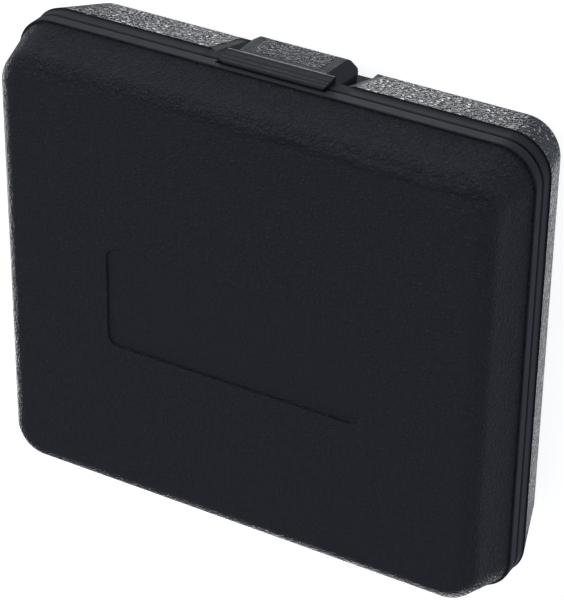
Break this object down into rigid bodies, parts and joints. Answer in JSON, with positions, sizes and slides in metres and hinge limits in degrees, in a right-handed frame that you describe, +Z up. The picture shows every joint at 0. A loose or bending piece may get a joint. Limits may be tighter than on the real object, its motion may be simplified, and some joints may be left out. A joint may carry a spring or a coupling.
{
  "type": "tool case",
  "caption": "Small rectangular moulded plastic tool case with a hinged lid, a swinging front latch, an inner tray with bays and a recessed blank panel on the lid.",
  "frame": {"origin": "centre of the flat underside of the base, on the case's long centre line", "axes": "+Z up out of the lid, X along the case's width, -Y towards the latch, +Y towards the hinges"},
  "size_m": [0.241, 0.2203, 0.0721],
  "materials": {
    "case_plastic": "leather-grained blow-moulded polyethylene, satin",
    "liner_plastic": "fine-grained matt",
    "latch_plastic": "grained top with smooth satin margins",
    "foam": "open-cell foam",
    "pin_steel": "drawn wire"
  },
  "bodies": {
    "base": {"base_shell": "case_plastic", "base_inner_tray": "liner_plastic", "latch_pin": "pin_steel", "hinge_pin_left": "pin_steel", "hinge_pin_right": "pin_steel"},
    "lid": {"lid_shell": "case_plastic", "lid_inner_panel": "liner_plastic", "lid_foam_pad": "foam"},
    "latch": {"latch": "latch_plastic"}
  },
  "joints": [
    {"name": "lid_hinge", "type": "hinge", "parent": "base", "child": "lid", "pos_m": [0, 0.109, 0.0406], "axis": [-1, 0, 0], "range_deg": [0, 180]},
    {"name": "latch_pivot", "type": "hinge", "parent": "base", "child": "latch", "pos_m": [0, -0.0966, 0.021], "axis": [1, 0, 0], "range_deg": [0, 70]}
  ]
}
